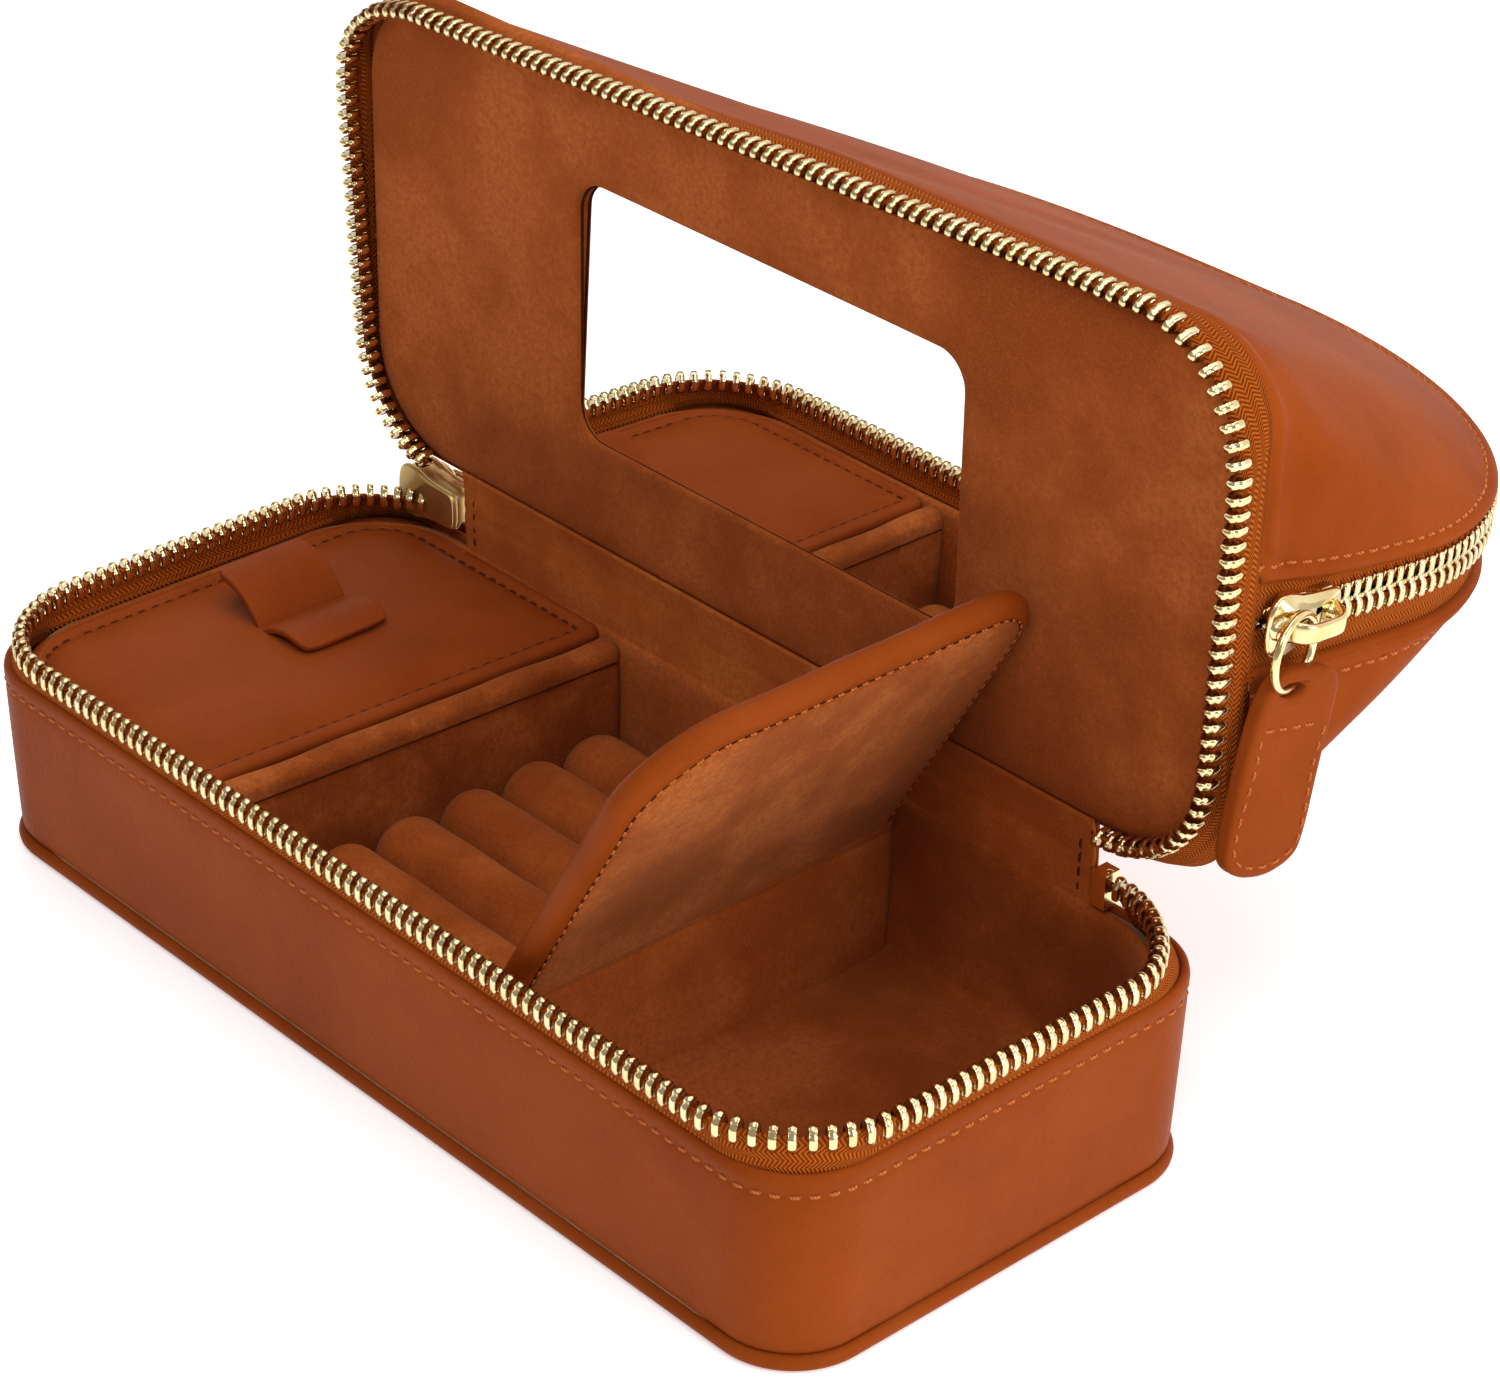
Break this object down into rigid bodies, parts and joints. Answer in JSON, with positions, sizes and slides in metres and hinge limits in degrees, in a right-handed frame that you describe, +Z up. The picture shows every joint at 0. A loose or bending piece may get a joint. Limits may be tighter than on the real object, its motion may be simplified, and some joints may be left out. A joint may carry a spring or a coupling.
{
  "type": "leather jewellery case",
  "caption": "Zipped leather jewellery case with a suede tray of ring rolls, a pad, a flapped compartment, a mirror in the lid and a soft zipped bag on top.",
  "frame": {"origin": "middle of the flat underside of the tray", "axes": "+X along the long side towards the flapped compartment, +Y to the hinge side, +Z up"},
  "size_m": [0.2176, 0.1885, 0.1425],
  "materials": {
    "leather": "smooth tan leather with a fine grain",
    "suede": "brown suede nap",
    "brass": "polished pale gold",
    "mirror": "clear glass mirror",
    "board": "grey-brown fibreboard",
    "foam": "open foam block",
    "tape": "woven herringbone zip tape"
  },
  "bodies": {
    "tray": {"base_panel": "leather", "base_piping": "leather", "tray_wall": "leather", "tray_board": "board", "tray_lining": "suede", "tray_zip_tape": "tape", "tray_zip_teeth": "brass", "hinge_strip_outer": "leather", "hinge_strip_inner": "suede", "zip_end_stop": "brass", "divider_left": "suede", "divider_right": "suede", "ring_rolls": "suede", "pad_support": "foam", "pendant_pad": "leather", "flap_hinge": "leather", "main_slider": "brass", "main_bail": "brass"},
    "pad_tab_a": {"pad_tab_a": "leather"},
    "pad_tab_b": {"pad_tab_b": "leather"},
    "flap": {"flap_cover": "leather", "flap_board": "board", "flap_suede": "suede"},
    "lid": {"lid_zip_teeth": "brass", "lid_zip_tape": "tape", "lid_lining": "suede", "mirror": "mirror", "lid_board": "board", "bag_front_panel": "leather", "bag_back_panel": "leather", "bag_tape_front": "tape", "bag_tape_back": "tape", "bag_teeth_front": "brass", "bag_teeth_back": "brass"},
    "bag_slider": {"bag_slider": "brass", "bag_bail": "brass"},
    "bag_ring": {"bag_ring": "brass"},
    "bag_pull": {"bag_pull": "leather"},
    "main_ring": {"main_ring": "brass"},
    "main_pull": {"main_pull": "leather"}
  },
  "joints": [
    {"name": "lid_hinge", "type": "hinge", "parent": "tray", "child": "lid", "pos_m": [0, 0.045, 0.0508], "axis": [1, 0, 0], "range_deg": [0, 90]},
    {"name": "flap_hinge", "type": "hinge", "parent": "tray", "child": "flap", "pos_m": [0.033, 0, 0.032], "axis": [0, 1, 0], "range_deg": [0, 60]},
    {"name": "pad_tab_a_bend", "type": "hinge", "parent": "tray", "child": "pad_tab_a", "pos_m": [-0.0783, 0.005, 0.0347], "axis": [0, 1, 0], "range_deg": [-18, 0]},
    {"name": "pad_tab_b_bend", "type": "hinge", "parent": "tray", "child": "pad_tab_b", "pos_m": [-0.0767, 0.005, 0.0347], "axis": [0, -1, 0], "range_deg": [0, 10]},
    {"name": "bag_slider_run", "type": "slide", "parent": "lid", "child": "bag_slider", "axis": [0, 0.9954, -0.0958], "range_m": [0, 0.006]},
    {"name": "bag_ring_swing", "type": "hinge", "parent": "bag_slider", "child": "bag_ring", "pos_m": [0.10905, 0.04988, 0.09633], "axis": [0, -0.9954, 0.0958], "range_deg": [0, 14]},
    {"name": "bag_pull_swing", "type": "hinge", "parent": "bag_ring", "child": "bag_pull", "pos_m": [0.10905, 0.04899, 0.08712], "axis": [0, -0.9954, 0.0958], "range_deg": [0, 60]},
    {"name": "main_ring_swing", "type": "hinge", "parent": "tray", "child": "main_ring", "pos_m": [-0.0929, 0.04945, 0.042], "axis": [1, 0, 0], "range_deg": [0, 14]},
    {"name": "main_pull_swing", "type": "hinge", "parent": "main_ring", "child": "main_pull", "pos_m": [-0.0929, 0.04945, 0.03275], "axis": [1, 0, 0], "range_deg": [0, 60]}
  ],
  "couplings": [
    {"joint": "flap_hinge", "follows": "lid_hinge", "ratio": 0.66666}
  ]
}
